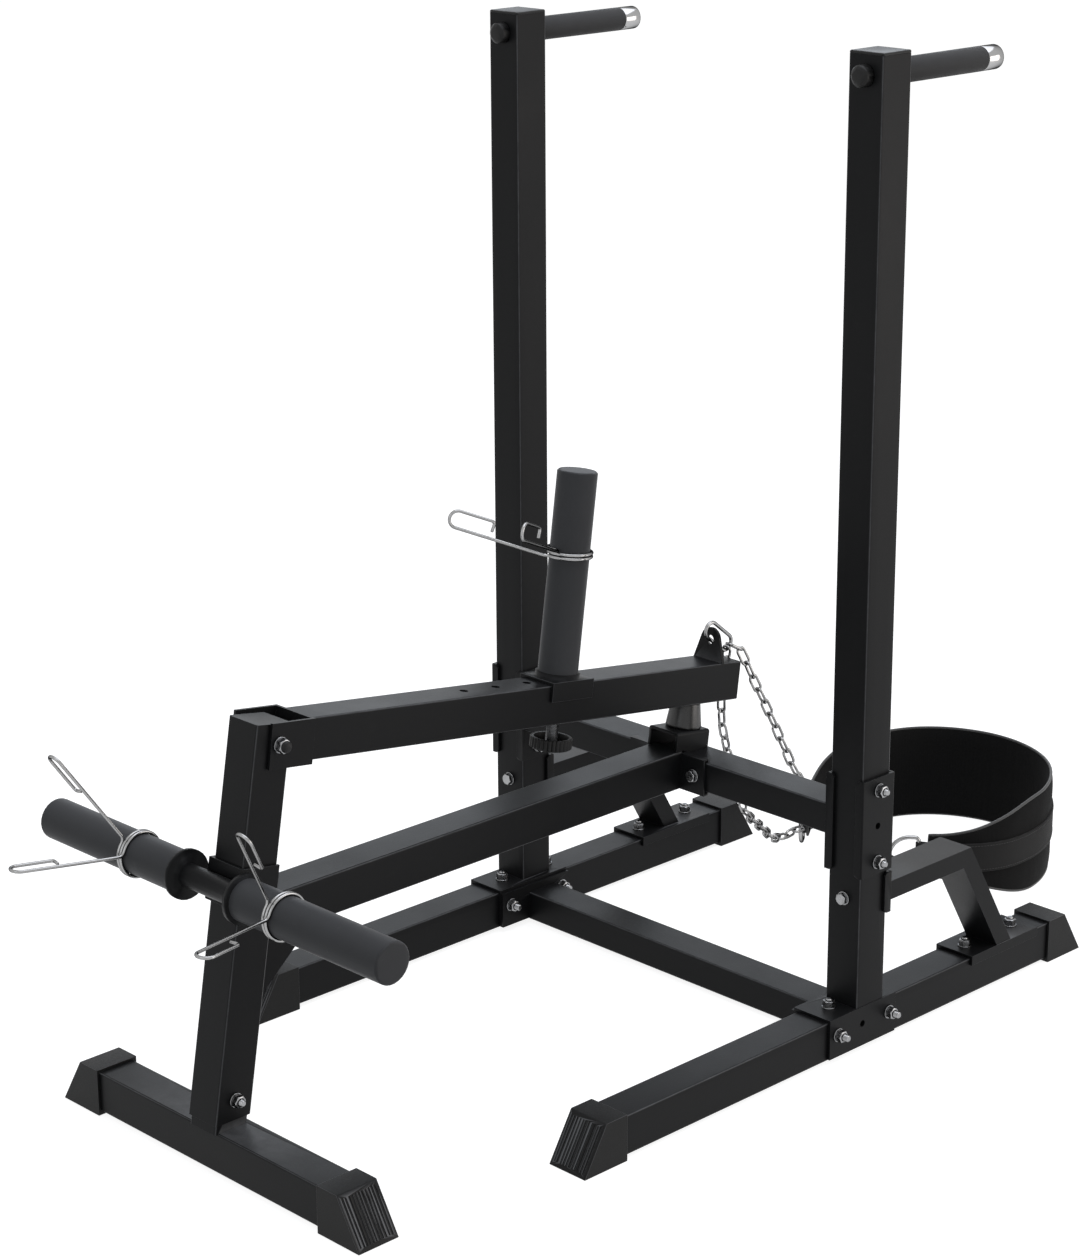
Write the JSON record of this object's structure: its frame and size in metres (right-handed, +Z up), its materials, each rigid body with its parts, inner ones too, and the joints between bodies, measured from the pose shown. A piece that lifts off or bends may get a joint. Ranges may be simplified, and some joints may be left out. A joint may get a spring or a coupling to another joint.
{
  "type": "dip station",
  "caption": "Dip station with a pinned lever arm, weight sleeve, storage bar with spring collars, and a belt on chains",
  "frame": {"origin": "centre of the footprint's bounding box, on the floor", "axes": "+Z up; +Y from the leaning post and storage bar towards the dip handles' free ends and the belt; +X to the right as seen from the post's side"},
  "size_m": [0.6776, 1.6502, 1.2338],
  "materials": {
    "black_powder_coat": "satin black powder coat on steel tube and plate",
    "black_rubber": "matte black rubber",
    "black_plastic": "satin black plastic",
    "zinc_steel": "bright zinc plated steel",
    "bright_steel": "bright plated steel wire",
    "chrome": "polished chrome plate",
    "foam_grip": "matte black grip sleeve",
    "belt_fabric": "black padded fabric with a woven strap"
  },
  "bodies": {
    "frame": {"front_foot": "black_powder_coat", "base_rail_left": "black_powder_coat", "base_rail_right": "black_powder_coat", "lower_cross_tube": "black_powder_coat", "upright_left": "black_powder_coat", "upright_right": "black_powder_coat", "mid_crossbar": "black_powder_coat", "outer_channel_left": "black_powder_coat", "outer_channel_right": "black_powder_coat", "rear_brace_left": "black_powder_coat", "rear_brace_right": "black_powder_coat", "front_post": "black_powder_coat", "storage_bar": "black_powder_coat", "centre_beam": "black_powder_coat", "bumper_bracket": "black_powder_coat", "front_foot_shoe_left": "black_rubber", "front_foot_shoe_right": "black_rubber", "rail_front_shoe_left": "black_rubber", "rail_front_shoe_right": "black_rubber", "rail_rear_shoe_left": "black_rubber", "rail_rear_shoe_right": "black_rubber", "rubber_bumper": "black_rubber", "upright_cap_left": "black_plastic", "upright_cap_right": "black_plastic", "handle_plug_left": "black_plastic", "handle_plug_right": "black_plastic", "pivot_bolt": "zinc_steel", "post_foot_bolt": "zinc_steel", "storage_bolt": "zinc_steel", "beam_bolt_left": "zinc_steel", "beam_bolt_right": "zinc_steel", "crossbar_bolt_lower_left": "zinc_steel", "crossbar_bolt_lower_right": "zinc_steel", "crossbar_bolt_upper_left": "zinc_steel", "crossbar_bolt_upper_right": "zinc_steel", "brace_bolt_left": "zinc_steel", "brace_bolt_right": "zinc_steel", "foot_stud_front_left": "zinc_steel", "foot_stud_front_right": "zinc_steel", "foot_stud_rear_left": "zinc_steel", "foot_stud_rear_right": "zinc_steel", "handle_tube_left": "chrome", "handle_tube_right": "chrome", "handle_grip_left": "foam_grip", "handle_grip_right": "foam_grip"},
    "lever": {"lever_arm": "black_powder_coat", "weight_sleeve": "black_powder_coat"},
    "knob": {"sleeve_knob": "black_plastic"},
    "storage_collar_left": {"storage_collar_left": "bright_steel"},
    "storage_collar_right": {"storage_collar_right": "bright_steel"},
    "sleeve_collar": {"sleeve_collar": "bright_steel"},
    "belt": {"hook_link": "bright_steel", "chain_left": "bright_steel", "chain_right": "bright_steel", "belt_ring_left": "bright_steel", "belt_ring_right": "bright_steel", "belt_pad": "belt_fabric", "belt_strap": "belt_fabric"}
  },
  "joints": [
    {"name": "lever_hinge", "type": "hinge", "parent": "frame", "child": "lever", "pos_m": [-0.00375, -0.59414, 0.503], "axis": [1, 0, 0], "range_deg": [0, 30]},
    {"name": "knob_turn", "type": "hinge", "parent": "lever", "child": "knob", "pos_m": [-0.00375, -0.13422, 0.43795], "axis": [0, 0.14, 0.9901], "continuous": true},
    {"name": "storage_collar_slide_left", "type": "slide", "parent": "frame", "child": "storage_collar_left", "axis": [-1, 0, 0], "range_m": [-0.075, 0.15]},
    {"name": "storage_collar_slide_right", "type": "slide", "parent": "frame", "child": "storage_collar_right", "axis": [1, 0, 0], "range_m": [-0.055, 0.17]},
    {"name": "sleeve_collar_slide", "type": "slide", "parent": "lever", "child": "sleeve_collar", "axis": [0, 0.14, 0.9901], "range_m": [-0.135, 0.09]},
    {"name": "belt_hinge", "type": "hinge", "parent": "lever", "child": "belt", "pos_m": [-0.00375, 0.14778, 0.45059], "axis": [1, 0, 0], "range_deg": [0, 60]}
  ]
}
